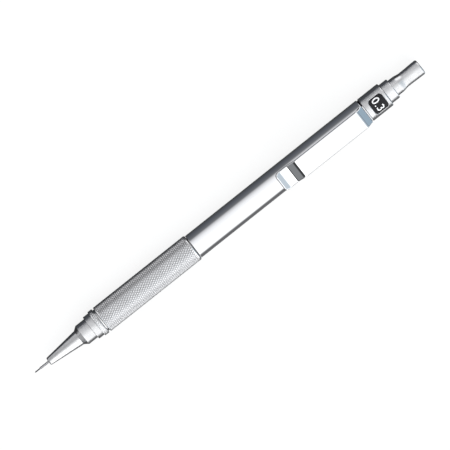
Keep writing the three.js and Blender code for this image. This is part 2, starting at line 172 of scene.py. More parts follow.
# Camera.
CAMERA_TILT = math.radians(16)  # from straight above the clip, towards +Y
CAMERA_ROLL = math.radians(38.45)  # the axis against the picture's lower edge
VIEW_WIDTH = 128.0
VIEW_CENTRE = 68.4  # station
VIEW_LIFT = 0.74  # the picture's centre, off the axis
LENS = 400.0
SENSOR = 36.0

# ---------- the frame's own sizes ----------


def span(node):
    """Front station, rear station and outside radius of a CAD node, in millimetres."""
    low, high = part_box(node)
    return (low.x - FRONT) / MM, (high.x - FRONT) / MM, (high.y - low.y) / (2 * MM)


AXIS_Z = (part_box("barrel_tube")[0].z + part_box("barrel_tube")[1].z) / 2
NOSE_END = span("nose_cone")[1]
GRIP_FRONT, GRIP_REAR, GRIP_R = span("grip")
BARREL_FRONT, BARREL_REAR, BARREL_R = span("barrel_tube")
CORE_FRONT, CORE_REAR, CORE_R = span("core_sleeve")
CAP_REAR, CAP_R = span("cap_ring")[1:]
LABEL_FRONT, LABEL_REAR, LABEL_HALF = span("size_label")
CLIP_FOOT, _, CLIP_HALF = span("clip")
CLIP_TOP_R = (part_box("clip")[1].z - AXIS_Z) / MM


def at(station, radius, angle):
    """A point in metres from its station, its radius and its angle about the axis."""
    across = radius * np.sin(angle) * MM
    height = AXIS_Z + radius * np.cos(angle) * MM
    return np.stack(np.broadcast_arrays(FRONT + station * MM, across, height), axis=-1)


# ---------- profiles ----------


def rounded(corners, edge=EDGE, closed=True, steps=4):
    """A profile with each corner rounded. A corner's third number is its own rounding."""
    points = []
    count = len(corners)
    for i, corner in enumerate(corners):
        here = np.array(corner[:2], float)
        radius = corner[2] if len(corner) > 2 else edge
        if radius == 0 or (not closed and i in (0, count - 1)):
            points.append(here)
            continue
        back = np.array(corners[i - 1][:2], float) - here
        ahead = np.array(corners[(i + 1) % count][:2], float) - here
        points += fillet(here, back, ahead, radius, steps)
    return points


def fillet(here, back, ahead, radius, steps):
    """Points of the arc that rounds a corner between the ways back and ahead."""
    back_length = np.linalg.norm(back)
    ahead_length = np.linalg.norm(ahead)
    back = back / back_length
    ahead = ahead / ahead_length
    opening = math.acos(np.clip(back @ ahead, -1, 1))
    if opening > math.radians(176):
        return [here]
    half = math.tan(opening / 2)
    reach = min(radius / half, 0.45 * back_length, 0.45 * ahead_length)
    middle = (back + ahead) / np.linalg.norm(back + ahead)
    centre = here + middle * reach * half / math.sin(opening / 2)
    start = here + back * reach - centre
    end = here + ahead * reach - centre
    sweep = math.pi - opening
    arc = []
    for step in range(steps + 1):
        t = step / steps
        part = math.sin((1 - t) * sweep) * start + math.sin(t * sweep) * end
        arc.append(centre + part / math.sin(sweep))
    return arc


def held(points, closed=True):
    """The profile with supporting points near the ends of its long stretches."""
    kept = []
    count = len(points)
    for i in range(count if closed else count - 1):
        here = points[i]
        way = points[(i + 1) % count] - here
        length = np.linalg.norm(way)
        kept.append(here)
        if length > 4 * HOLD:
            kept.append(here + way * HOLD / length)
            kept.append(here + way * (1 - HOLD / length))
    if not closed:
        kept.append(points[-1])
    return kept


def wall_profile(corners, edge=EDGE, steps=4):
    """A closed profile, for a piece with a bore."""
    return held(rounded(corners, edge, steps=steps))


def line_profile(corners, edge=EDGE, steps=4):
    """An open profile, for a piece without a bore or for part of one."""
    return held(rounded(corners, edge, closed=False, steps=steps), closed=False)


def travelled(line):
    """How far along a line each of its points is."""
    return np.concatenate([[0], np.cumsum(np.linalg.norm(np.diff(line, axis=0), axis=1))])


def pipe_profile(front, rear, radius, bore, edge=EDGE):
    return wall_profile([(front, bore), (front, radius), (rear, radius), (rear, bore)], edge)


# ---------- meshes ----------


def revolve(points, closed=True, segments=SEGMENTS, relief=None, crossed=None):
    """Vertices and faces of a profile turned about the axis. relief(station, radius, angles)
    gives the radii of a ring, and quads between the two stations of crossed get a middle vertex."""
    angles = np.arange(segments) * 2 * math.pi / segments
    verts = []
    rings = []
    for station, radius in points:
        start = len(verts)
        if radius < 1e-6:
            verts.append(tuple(at(station, 0, 0)))
            rings.append([start])
            continue
        radii = relief(station, radius, angles) if relief else radius
        verts += [tuple(v) for v in at(station, radii + 0 * angles, angles)]
        rings.append(list(range(start, start + segments)))
    faces = []
    pairs = list(zip(range(len(points)), range(1, len(points))))
    if closed:
        pairs.append((len(points) - 1, 0))
    for a, b in pairs:
        stations = sorted((points[a][0], points[b][0]))
        if crossed and crossed[0] - 1e-6 <= stations[0] and stations[1] <= crossed[1] + 1e-6:
            faces += crossed_band(verts, rings[a], rings[b], points[a], points[b], relief, angles)
        else:
            faces += plain_band(rings[a], rings[b], segments)
    return verts, faces


def plain_band(ring_a, ring_b, segments):
    """Faces between two rings, either of which may be a single point on the axis."""
    faces = []
    for k in range(segments):
        n = (k + 1) % segments
        if len(ring_a) == 1:
            faces.append((ring_a[0], ring_b[k], ring_b[n]))
        elif len(ring_b) == 1:
            faces.append((ring_a[k], ring_b[0], ring_a[n]))
        else:
            faces.append((ring_a[k], ring_b[k], ring_b[n], ring_a[n]))
    return faces


def crossed_band(verts, ring_a, ring_b, point_a, point_b, relief, angles):
    """Faces between two rings, four to a quad, so that both diagonals are edges."""
    middle = (np.array(point_a) + np.array(point_b)) / 2
    turned = angles + (angles[1] - angles[0]) / 2
    centres = at(middle[0], relief(middle[0], middle[1], turned), turned)
    start = len(verts)
    verts += [tuple(v) for v in centres]
    faces = []
    for k in range(len(angles)):
        n = (k + 1) % len(angles)
        loop = (ring_a[k], ring_b[k], ring_b[n], ring_a[n])
        for i in range(4):
            faces.append((loop[i], loop[(i + 1) % 4], start + k))
    return faces


def loft(sections, wrap=False):
    """Vertices and faces through a row of closed sections, capped at its ends unless it wraps."""
    size = len(sections[0])
    verts = [tuple(v) for section in sections for v in section]
    faces = []
    rows = len(sections)
    for row in range(rows if wrap else rows - 1):
        here = row * size
        there = ((row + 1) % rows) * size
        for k in range(size):
            n = (k + 1) % size
            faces.append((here + k, there + k, there + n, here + n))
    if not wrap:
        faces.append(tuple(range(size)))
        faces.append(tuple(range((rows - 1) * size, rows * size)))
    return verts, faces


def new_object(name, shape, sharp_angle=None):
    """A smooth-shaded object from vertices and faces, with its faces turned outwards."""
    mesh = bpy.data.meshes.new(name)
    mesh.from_pydata(shape[0], [], shape[1])
    work = bmesh.new()
    work.from_mesh(mesh)
    bmesh.ops.recalc_face_normals(work, faces=work.faces)
    work.to_mesh(mesh)
    work.free()
    mesh.shade_smooth()
    if sharp_angle is not None:
        mesh.set_sharp_from_angle(angle=sharp_angle)
    obj = bpy.data.objects.new(name, mesh)
    bpy.context.scene.collection.objects.link(obj)
    return obj


SLOT_OF = {part["node"]: part["material_slot"] for part in frame["record"]["subparts"]}


def stand_for(obj, node, looks):
    """The object takes the place of a CAD node: its body, its slot and that slot's material."""
    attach(obj, frame["nodes"][node]["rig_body"])
    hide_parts(node)
    obj.data.materials.append(looks[SLOT_OF[node]])
    return obj


def add_trim(obj, node, slot, looks):
    """The object is extra detail on a CAD node."""
    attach(obj, frame["nodes"][node]["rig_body"])
    obj.data.materials.append(looks[slot])
    return obj


# ---------- surface patterns ----------


def triangle(t):
    """A wave of period 1, which is 0 at whole numbers and 1 half-way between them."""
    return 1 - np.abs(2 * (t - np.floor(t)) - 1)


def fade(station, front, rear, length):
    """1 between two stations, falling smoothly to 0 at each of them."""
    t = min((station - front) / length, (rear - station) / length)
    t = min(max(t, 0), 1)
    return t * t * (3 - 2 * t)


def knurl_relief(front, rear, run_out):
    """Two crossing sets of helical grooves, which leave four-sided pyramids."""

    def relief(station, radius, angles):
        if radius < GRIP_R - EDGE / 2:
            return radius + 0 * angles
        along = (station - front) / KNURL_PITCH
        around = KNURL_STARTS * angles / (2 * math.pi)
        height = np.minimum(triangle(along + around), triangle(along - around))
        depth = KNURL_DEPTH * fade(station, front, rear, run_out)
        return radius - depth * (1 - height)

    return relief


def evenly(front, rear, radius, count):
    """Evenly spaced profile points, for a relief to be cut in."""
    return [np.array((front + (rear - front) * i / count, radius)) for i in range(count + 1)]


def knurl_rows(front, rear, radius):
    step = KNURL_PITCH / KNURL_STEPS
    count = int((rear - front) / step)
    return evenly(front, front + count * step, radius, count)


def thread_relief(front, rear, crest, depth):
    """A helical V-groove between two stations, cut in from the crest by a depth."""

    def relief(station, radius, angles):
        if abs(radius - crest) > 1e-3:
            return radius + 0 * angles
        groove = triangle((station - front) / THREAD_PITCH - angles / (2 * math.pi))
        return radius + depth * groove * fade(station, front, rear, THREAD_PITCH)

    return relief


def thread_rows(front, rear, radius):
    return evenly(front, rear, radius, int(round((rear - front) / (THREAD_PITCH / 8))))


# ---------- nose and lead ----------


def writing_lead():
    front, rear, radius = span("writing_lead")
    worn = 0.35
    point_r = 0.1
    corners = [
        (front, 0), (front, point_r, 0.04), (front + worn, radius, 0.1), (rear, radius),
        (rear, 0),
    ]
    points = line_profile(corners, 0.03)
    return revolve(points, closed=False, segments=FINE_SEGMENTS)


def lead_sleeve():
    front, rear, flange_r = span("lead_sleeve")
    sleeve_r = 0.33
    flange_front = 8
    corners = [
        (front, LEAD_BORE_R, 0.03), (front, sleeve_r, 0.06), (flange_front, sleeve_r, 0.02),
        (flange_front, flange_r, 0.05), (rear, flange_r, 0.05), (rear, LEAD_BORE_R, 0.03),
    ]
    return revolve(wall_profile(corners), segments=FINE_SEGMENTS)


def nose_cone():
    ring_front = SECOND_STEP_END + RING_CHAMFER
    ring_rear = NOSE_END - RING_CHAMFER
    thread_r = THREAD_R + 0.1
    thread_front = CORE_FRONT - 0.1
    ring_bore_r = 1.73
    ring_bore_front = 15.3
    chuck_bore_r = 1.38
    chuck_bore_front = 11.9
    retainer_bore_r = 1
    flange_front = 8.95
    flange_bore_r = 0.8
    sleeve_seat = 7.95
    sleeve_bore_r = 0.38
    outside = [
        (NOSE_TIP, sleeve_bore_r, 0.04), (NOSE_TIP, NOSE_TIP_R, 0.5),
        (CONE_END, CONE_END_R, 0.12), (SHOULDER_END, FIRST_STEP_R, 0.15),
        (FIRST_STEP_END, FIRST_STEP_R, 0.03), (FIRST_STEP_END + STEP_LEAN, SECOND_STEP_R, 0.1),
        (SECOND_STEP_END, SECOND_STEP_R, 0.03),
        (SECOND_STEP_END + STEP_LEAN, GRIP_R - RING_CHAMFER, 0.03), (ring_front, GRIP_R, 0.03),
    ]
    bore = [
        (ring_rear, GRIP_R, 0.03), (NOSE_END, GRIP_R - RING_CHAMFER, 0.03),
        (NOSE_END, thread_r + 0.1, 0.1), (NOSE_END - 0.1, thread_r, 0.02),
    ]
    inside = [
        (thread_front, thread_r, 0.02), (thread_front, ring_bore_r, 0.02),
        (ring_bore_front, ring_bore_r, 0.1), (ring_bore_front, chuck_bore_r, 0.05),
        (chuck_bore_front, chuck_bore_r, 0.05), (chuck_bore_front, retainer_bore_r, 0.05),
        (flange_front, retainer_bore_r, 0.02), (flange_front, flange_bore_r, 0.02),
        (sleeve_seat, flange_bore_r, 0.02), (sleeve_seat, sleeve_bore_r, 0.02),
    ]
    points = line_profile(outside)[:-1]
    points += knurl_rows(ring_front, ring_rear, GRIP_R)
    points += line_profile(bore)
    points += thread_rows(thread_front, NOSE_END - 0.2, thread_r)[::-1]
    points += line_profile(inside)[1:]
    knurl = knurl_relief(ring_front, ring_rear, 0.15)
    thread = thread_relief(thread_front, NOSE_END - 0.2, thread_r, THREAD_DEPTH)

    def relief(station, radius, angles):
        cutter = thread if radius < THREAD_R + 0.5 else knurl
        return cutter(station, radius, angles)

    return revolve(points, relief=relief, crossed=(ring_front, ring_rear))


# ---------- clutch and magazine ----------


def core_sleeve():
    groove_r = THREAD_R - THREAD_DEPTH - GAP
    outside = [
        (CORE_FRONT, SLEEVE_MOUTH_R, 0.05), (CORE_FRONT, THREAD_R - 0.2, 0.02),
        (CORE_FRONT + 0.2, THREAD_R, 0.02),
    ]
    rest = [
        (THREAD_REAR, THREAD_R, 0.02), (THREAD_REAR + 0.2, groove_r, 0.08),
        (CORE_SHOULDER, groove_r, 0.08), (CORE_SHOULDER, CORE_R, 0.08),
        (CORE_REAR, CORE_R, 0.15), (CORE_REAR, SPRING_CHAMBER_R, 0.1),
        (SPRING_SHOULDER, SPRING_CHAMBER_R, 0.05), (SPRING_SHOULDER, SLEEVE_MOUTH_R, 0.05),
    ]
    points = line_profile(outside)[:-1]
    points += thread_rows(CORE_FRONT + 0.2, THREAD_REAR, THREAD_R)
    points += line_profile(rest)[1:]
    relief = thread_relief(CORE_FRONT + 0.2, THREAD_REAR, THREAD_R, -THREAD_DEPTH)
    return revolve(points, segments=144, relief=relief)


def chuck():
    front, rear, _ = span("chuck")
    corners = [
        (front, LEAD_BORE_R, 0.05), (front, CHUCK_HEAD_R, 0.25),
        (CHUCK_CONE_FRONT, CHUCK_HEAD_R, 0.1), (CHUCK_CONE_REAR, 1, 0.05),
        (CHUCK_CONE_REAR + 0.1, CHUCK_SHANK_R, 0.05), (rear, CHUCK_SHANK_R, 0.1),
        (rear, LEAD_BORE_R, 0.05),
    ]
    body = new_object("chuck_fine", revolve(wall_profile(corners), segments=INNER_SEGMENTS))
    for turn in range(3):
        slot = new_object("jaw_slot", jaw_slot(front, turn * 2 * math.pi / 3))
        cut(body, slot)
    body.data.set_sharp_from_angle(angle=math.radians(35))
    return body


def jaw_slot(front, angle):
    """The block that a saw takes out between two jaws, at an angle about the axis."""
    half = JAW_SLOT / 2
    sections = []
    for station in (front - 1, front + JAW_LENGTH):
        section = []
        for across, out in ((-half, 0), (half, 0), (half, 2), (-half, 2)):
            radius = math.hypot(across, out)
            section.append(at(station, radius, angle + math.atan2(across, out)))
        sections.append(section)
    return loft(sections)


def cut(body, cutter):
    """Takes the cutter out of the body, and removes the cutter."""
    modifier = body.modifiers.new("cut", "BOOLEAN")
    modifier.operation = "DIFFERENCE"
    modifier.solver = "EXACT"
    modifier.object = cutter
    graph = bpy.context.evaluated_depsgraph_get()
    body.data = bpy.data.meshes.new_from_object(body.evaluated_get(graph))
    body.modifiers.clear()
    bpy.data.objects.remove(cutter)


def clutch_ring():
    front, rear, radius = span("clutch_ring")
    mouth_r = 1.34
    bore_r = 1.08
    corners = [
        (front, mouth_r, 0.05), (front, radius, 0.12), (rear, radius, 0.12),
        (rear, bore_r, 0.05), (CHUCK_CONE_REAR, bore_r, 0.05),
    ]
    return revolve(wall_profile(corners), segments=INNER_SEGMENTS)


def clutch_spring():
    """A coil with closed ends, ground flat."""
    front, rear, _ = span("clutch_spring")
    wire = 12
    steps = 28
    count = int(SPRING_TURNS * steps)
    low = front + SPRING_WIRE_R * 0.7
    high = rear - SPRING_WIRE_R * 0.7
    open_turns = SPRING_TURNS - 2 * CLOSED_TURNS
    closed_rise = CLOSED_TURNS * 2 * SPRING_WIRE_R
    sections = []
    for i in range(count + 1):
        turn = SPRING_TURNS * i / count
        share = min(max((turn - CLOSED_TURNS) / open_turns, 0), 1)
        closed = min(turn, CLOSED_TURNS) + max(turn - SPRING_TURNS + CLOSED_TURNS, 0)
        station = low + closed / CLOSED_TURNS * closed_rise
        station += share * (high - low - 2 * closed_rise)
        angle = 2 * math.pi * turn
        section = []
        for k in range(wire):
            side = 2 * math.pi * k / wire
            along = station + SPRING_WIRE_R * math.cos(side)
            along = min(max(along, front), rear)
            section.append(at(along, SPRING_MEAN_R + SPRING_WIRE_R * math.sin(side), angle))
        sections.append(section)
    return loft(sections)


def chuck_joint():
    front, rear, radius = span("chuck_joint")
    shoulder = span("lead_tube")[0] - GAP
    spigot_r = TUBE_BORE_R - GAP
    chuck_end = 37.95
    chuck_bore_r = 0.9
    lead_way_r = 0.45
    corners = [
        (front, chuck_bore_r, 0.05), (front, radius, 0.15), (shoulder, radius, 0.08),
        (shoulder, spigot_r, 0.03), (rear, spigot_r, 0.15), (rear, lead_way_r, 0.05),
        (chuck_end, lead_way_r, 0.02), (chuck_end, chuck_bore_r, 0.02),
    ]
    return revolve(wall_profile(corners), segments=INNER_SEGMENTS)


def spare_lead(node):
    low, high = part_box(node)
    front, rear, radius = span(node)
    points = line_profile([(front, 0), (front, radius), (rear, radius), (rear, 0)], 0.03)
    verts, faces = revolve(points, closed=False, segments=24)
    shift = np.array((0, (low.y + high.y) / 2, (low.z + high.z) / 2 - AXIS_Z))
    return [tuple(np.array(v) + shift) for v in verts], faces


def eraser_holder():
    front, rear, flange_r = span("eraser_holder")
    flange_front = span("lead_tube")[1] + GAP
    holder_r = TUBE_BORE_R - GAP
    cup_r = 1.25
    cup_floor = front + 0.3
    corners = [
        (front, 0), (front, holder_r, 0.15), (flange_front, holder_r, 0.03),
        (flange_front, flange_r, 0.08), (rear, flange_r, 0.1), (rear, cup_r, 0.05),
        (cup_floor, cup_r, 0.05), (cup_floor, 0),
    ]
    points = line_profile(corners)
    return revolve(points, closed=False, segments=INNER_SEGMENTS)


def eraser():
    front, rear, radius = span("eraser")
    corners = [(front, 0), (front, radius, 0.1), (rear, radius, 0.3), (rear, 0)]
    points = line_profile(corners, steps=6)
    return revolve(points, closed=False, segments=INNER_SEGMENTS)


# ---------- rear end ----------


def swelling(front, front_r, rear, rear_r, steps=10):
    """Profile points that go from one radius to another on a smooth S-curve."""
    points = []
    for i in range(steps + 1):
        t = i / steps
        share = (1 - math.cos(math.pi * t)) / 2
        points.append((front + (rear - front) * t, front_r + (rear_r - front_r) * share))
    return points


def push_button():
    front, rear, radius = span("push_button")
    end_edge = 0.5
    bore_r = 1.86
    bore_end = 138.6
    points = [(bore_end, 0), (bore_end, bore_r, 0.2), (front, bore_r, 0.08), (front, radius, 0.1)]
    waist = swelling(BUTTON_BASE_END, radius, BUTTON_WAIST, BUTTON_WAIST_R)
    flare = swelling(BUTTON_WAIST, BUTTON_WAIST_R, rear - 2 * end_edge, BUTTON_END_R)
    points += [(s, r, 0) for s, r in waist + flare[1:]]
    points += [(rear, BUTTON_END_R, end_edge), (rear - 0.03, 0)]
    return revolve(line_profile(points, steps=6), closed=False)


def end_collar():
    bush_front, rear, radius = span("end_collar")
    front = CAP_REAR + GAP
    bush_r = 3.05
    bore_r = 2.72
    corners = [
        (bush_front, bore_r, 0.08), (bush_front, bush_r, 0.1), (front, bush_r, 0.02),
        (front, radius, 0.35), (rear, radius, 0.35), (rear, bore_r, 0.1),
    ]
    return revolve(wall_profile(corners, steps=6))


def label_depth(station, angles):
    """1 over the label's pocket and 0 outside it, for a ring of angles."""
    half_length = (LABEL_REAR - LABEL_FRONT) / 2 + LABEL_GAP - LABEL_CORNER_R
    half_width = LABEL_HALF + LABEL_GAP - LABEL_CORNER_R
    angles = np.where(angles > math.pi, angles - 2 * math.pi, angles)
    along = np.abs(station - (LABEL_FRONT + LABEL_REAR) / 2) - half_length
    across = np.abs(CAP_R * np.sin(angles)) - half_width
    outside = np.hypot(np.maximum(along, 0), np.maximum(across, 0))
    distance = outside + np.minimum(np.maximum(along, across), 0) - LABEL_CORNER_R
    return ((distance < 0) & (np.abs(angles) < math.pi / 2)).astype(float)


def cap_ring():
    front = span("cap_ring")[0]
    face = BARREL_REAR + 0.5
    pocket_step = 0.08
    tube_way_r = 2.6
    bush_bore_r = 3.1
    bush_end = 122.8
    corners = [
        (front, tube_way_r, 0.1), (front, SPIGOT_R, 0.15), (face, SPIGOT_R, 0.03),
        (face, CAP_R, 0.12), (CAP_REAR, CAP_R, 0.3), (CAP_REAR, bush_bore_r, 0.05),
        (bush_end, bush_bore_r, 0.05), (bush_end, tube_way_r, 0.05),
    ]
    points = wall_profile(corners, steps=6)
    wall_front = LABEL_FRONT - 3 * LABEL_GAP
    count = int((LABEL_REAR - LABEL_FRONT + 6 * LABEL_GAP) / pocket_step)
    pocket = evenly(wall_front, wall_front + count * pocket_step, CAP_R, count)
    place = next(i for i, p in enumerate(points) if p[0] > pocket[-1][0] and p[1] > CAP_R - 1e-3)
    points[place:place] = pocket

    def relief(station, radius, angles):
        if abs(radius - CAP_R) > 1e-3:
            return radius + 0 * angles
        return radius - (CAP_R - LABEL_FLOOR_R) * label_depth(station, angles)

    return revolve(points, segments=288, relief=relief)


def label_loop(inset, corner_steps=10, side_steps=8):
    """Stations and angles round the label's outline, moved inwards by an inset."""
    middle = (LABEL_FRONT + LABEL_REAR) / 2
    corner = max(LABEL_CORNER_R - inset, 0.02)
    reach = np.array(((LABEL_REAR - LABEL_FRONT) / 2, LABEL_HALF)) - inset - corner

    def edge_point(turn, quarter):
        """A point of a corner's arc: corners go round from the one at rear and +Y."""
        centre = reach * ((1, 1), (-1, 1), (-1, -1), (1, -1))[turn % 4]
        angle = math.pi / 2 * (turn + quarter)
        return centre + corner * np.array((math.cos(angle), math.sin(angle)))

    outline = []
    for turn in range(4):
        outline += [edge_point(turn, step / corner_steps) for step in range(corner_steps + 1)]
        start = outline[-1]
        way = edge_point(turn + 1, 0) - start
        outline += [start + way * step / side_steps for step in range(1, side_steps)]
    stations = np.array([middle + p[0] for p in outline])
    angles = np.array([math.asin(p[1] / LABEL_TOP_R) for p in outline])
    return stations, angles


def size_label():
    """A thin plate that follows the cap ring, with a rounded edge."""
    edge = 0.06
    rings = [(0, LABEL_FLOOR_R + edge), (0, LABEL_TOP_R - edge), (0.02, LABEL_TOP_R - 0.02)]
    rings += [(inset, LABEL_TOP_R) for inset in (edge, 0.12, 0.4, 0.8, 1.2, 1.6, 2.0, 2.3)]
    sections = []
    for inset, radius in rings:
        stations, angles = label_loop(inset)
        sections.append(at(stations, radius, angles))
    return loft(sections)


def label_rim():
    """The bright bead round the label."""
    sides = 10
    sections = []
    for k in range(sides):
        angle = 2 * math.pi * k / sides
        stations, angles = label_loop(-LABEL_GAP / 2 + RIM_R * math.cos(angle))
        radius = CAP_R - 0.04 + RIM_R * 0.7 * math.sin(angle)
        sections.append(at(stations, radius, angles))
    return loft(sections, wrap=True)


# ---------- numerals ----------


def arc_path(centre, radii, start, end, steps=24):
    """Points of an elliptic arc, angles in degrees."""
    path = []
    for i in range(steps + 1):
        angle = math.radians(start + (end - start) * i / steps)
        across = centre[0] + radii[0] * math.cos(angle)
        path.append((across, centre[1] + radii[1] * math.sin(angle)))
    return path


def stroke(path, width, wrap=False):
    """A raised painted line on the label. The path's first number runs along the lettering, down
    the +Y side of the label to its -Y side, and its second up it, towards the push button."""
    middle = (LABEL_FRONT + LABEL_REAR) / 2
    points = np.array(path, float)
    count = len(points)
    so_far = travelled(points)
    left = [(-1, -NUMERAL_RISE), (-1, 0), (-0.8, NUMERAL_RISE)]
    cross_section = left + [(-out, rise) for out, rise in reversed(left)]
    sections = []
    for i in range(count):
        before = points[(i - 1) % count if wrap else max(i - 1, 0)]
        after = points[(i + 1) % count if wrap else min(i + 1, count - 1)]
        way = (after - before) / np.linalg.norm(after - before)
        side = np.array((-way[1], way[0]))
        end = width / 2 if wrap else min(so_far[i], so_far[-1] - so_far[i], width / 2)
        half = math.sqrt(max(width * width / 4 - (width / 2 - end) ** 2, 1e-6))
        section = []
        for out, rise in cross_section:
            place = points[i] + side * half * out
            section.append(at(middle + place[1], LABEL_TOP_R + rise, -place[0] / LABEL_TOP_R))
        sections.append(section)
    return loft(sections, wrap)


def numerals():
    """The lead size, in plain strokes."""
    high = (NUMERAL_HEIGHT - NUMERAL_STROKE) / 2
    low = -0.12  # the middle of the lettering, off the label's middle
    bow = 0.46  # half the height of the three's upper bow
    nought = arc_path((-1.41, low), (0.57, high), 0, 360, 48)[:-1]
    point = [(-0.36 + 0.02 * i, low - high + 0.06) for i in range(21)]
    low_bow = arc_path((1.08, low - bow), (0.66, high - bow), -150, 90, 30)
    top_bow = arc_path((1.08, low + high - bow), (0.6, bow), -90, 145, 26)
    return [
        stroke(nought, NUMERAL_STROKE, wrap=True),
        stroke(point, NUMERAL_STROKE * 1.15),
        stroke(low_bow, NUMERAL_STROKE),
        stroke(top_bow, NUMERAL_STROKE),
    ]


# ---------- grip and barrel ----------


def grip():
    knurl_front = GRIP_FRONT + RING_CHAMFER
    chamfer_front = GRIP_REAR - GRIP_REAR_CHAMFER
    bore_r = CORE_R + GAP
    front = [
        (GRIP_FRONT, bore_r, 0.03), (GRIP_FRONT, GRIP_R - RING_CHAMFER, 0.03),
        (knurl_front, GRIP_R, 0.03),
    ]
    rear = [
        (chamfer_front, GRIP_R, 0.03), (GRIP_REAR, GRIP_R - GRIP_REAR_CHAMFER, 0.12),
        (GRIP_REAR, bore_r, 0.03),
    ]
    points_of_knurl = knurl_rows(knurl_front, chamfer_front, GRIP_R)
    knurl_rear = points_of_knurl[-1][0]
    points = line_profile(front)[:-1] + points_of_knurl + line_profile(rear)[1:]
    relief = knurl_relief(knurl_front, knurl_rear, 0.35)
    return revolve(points, relief=relief, crossed=(knurl_front, knurl_rear))


def barrel_joint():
    front, rear, radius = span("barrel_joint")
    step = GRIP_REAR + GAP
    bore_r = 2.1
    corners = [
        (front, bore_r, 0.1), (front, CORE_R, 0.15), (step, CORE_R, 0.03), (step, radius, 0.1),
        (rear, radius, 0.15), (rear, bore_r, 0.1),
    ]
    return revolve(wall_profile(corners))


# Pieces that are a plain pipe: bore, rounding, facets and, where it isn't the CAD box's, radius.
PIPES = {
    "lead_retainer": (LEAD_BORE_R, 0.15, FINE_SEGMENTS),
    "spacer_ring": (CORE_R + GAP, 0.08, SEGMENTS),
    "spring_seat": (0.95, 0.06, INNER_SEGMENTS),
    "lead_tube": (TUBE_BORE_R, 0.1, INNER_SEGMENTS, TUBE_R),
    "barrel_tube": (SPIGOT_R + GAP, 0.12, SEGMENTS),
    "clip_ring": (SPIGOT_R + GAP, 0.06, SEGMENTS, CLIP_BAND_R),
}


def plain_pipe(node):
    bore, edge, segments, *own_radius = PIPES[node]
    front, rear, radius = span(node)
    radius = own_radius[0] if own_radius else radius
    return revolve(pipe_profile(front, rear, radius, bore, edge), segments=segments)


# ---------- clip ----------


def offset_line(line, distance):
    """A line of points moved sideways, to its left, by a distance."""
    moved = []
    for i, point in enumerate(line):
        way = line[min(i + 1, len(line) - 1)] - line[max(i - 1, 0)]
        way = way / np.linalg.norm(way)
        moved.append(point + distance * np.array((-way[1], way[0])))
    return moved


def resampled(line, count):
    """The same line as evenly spaced points."""
    line = np.array(line)
    so_far = travelled(line)
    places = np.linspace(0, so_far[-1], count)
    return np.stack([np.interp(places, so_far, line[:, i]) for i in range(2)], axis=-1)


def clip_faces(count):
    """The upper and the lower face of the clip's sheet, seen from the side."""
    flat = CLIP_TOP_R - CLIP_THICKNESS / 2
    dip = BARREL_R + GAP + CLIP_THICKNESS / 2
    corners = [
        (CLIP_FOOT, dip + 0.42), (CLIP_FOOT + 2, dip + 0.03, 5), (CLIP_DIP, dip, 2),
        (CLIP_FLAT_FRONT, flat, CLIP_FRONT_BEND_R), (CLIP_FLAT_REAR, flat, CLIP_BEND_R),
        (BARREL_REAR + 1, flat - (BARREL_REAR + 1 - CLIP_FLAT_REAR)),
    ]
    middle = resampled(rounded(corners, closed=False, steps=12), 800)
    upper = [p for p in offset_line(middle, CLIP_THICKNESS / 2) if p[0] < BARREL_REAR]
    above = BARREL_R + GAP
    lower = [p for p in offset_line(middle, -CLIP_THICKNESS / 2) if p[0] < BARREL_REAR]
    lower = [p for p in lower if p[1] > above or p[0] < CLIP_FLAT_FRONT]
    lower.append(np.array((BARREL_REAR, above)))
    lower = [np.array((p[0], max(p[1], above))) for p in lower]
    return resampled(upper, count), resampled(lower, count)


def sheet_section(upper, lower, half_width, edge):
    """A rectangle with rounded corners, from a point on the upper face to one on the lower."""
    middle = (upper + lower) / 2
    half = np.linalg.norm(upper - lower) / 2
    rise = (upper - middle) / half
    edge = min(edge, 0.95 * half)
    section = []
    for turn in range(4):
        out = 1 if turn in (0, 3) else -1
        up = 1 if turn in (0, 1) else -1
        corner = []
        for step in range(6):
            angle = math.pi / 2 * (turn + step / 5)
            across = out * (half_width - edge) + edge * math.cos(angle)
            height = up * (half - edge) + edge * math.sin(angle)
            corner.append((across, height))
        hold = (out * (half_width - edge - HOLD), up * half)
        section += [hold] + corner if turn in (1, 3) else corner + [hold]
    points = []
    for across, height in section:
        place = middle + rise * height
        points.append((FRONT + place[0] * MM, across * MM, AXIS_Z + place[1] * MM))
    return points


def clip():
    """The arm of the clip, one bent sheet from its foot to its root."""
    count = 520
    upper, lower = clip_faces(count)
    sections = []
    for i, from_foot in enumerate(travelled(upper)):
        inner = max(CLIP_CORNER_R - from_foot, 0)
        half_width = CLIP_HALF - CLIP_CORNER_R + math.sqrt(CLIP_CORNER_R**2 - inner**2)
        from_end = max(CLIP_EDGE_R - from_foot, 0)
        thin = CLIP_EDGE_R - math.sqrt(CLIP_EDGE_R**2 - from_end**2)
        way = (upper[i] - lower[i]) / np.linalg.norm(upper[i] - lower[i])
        top = upper[i] - way * thin * 0.8
        bottom = lower[i] + way * thin * 0.8
        sections.append(sheet_section(top, bottom, half_width, CLIP_EDGE_R))
    return loft(sections)


def clip_tab():
    """The tab on the band that the clip's arm springs from."""
    front, rear, _ = span("clip_ring")
    half_width = 2.6
    low = 3.3
    top = 4.05
    edge = 0.1
    outline = rounded(
        [(-half_width, low), (-half_width, top, 0.3), (half_width, top, 0.3), (half_width, low)],
        edge,
        steps=5,
    )
    sections = []
    for station, inset in ((front, edge), (front + edge, 0), (rear - edge, 0), (rear, edge)):
        section = []
        for across, height in outline:
            share = 1 - inset / half_width
            rise = (height - inset) * MM
            section.append((FRONT + station * MM, across * share * MM, AXIS_Z + rise))
        sections.append(section)
    return loft(sections)


# ---------- materials ----------


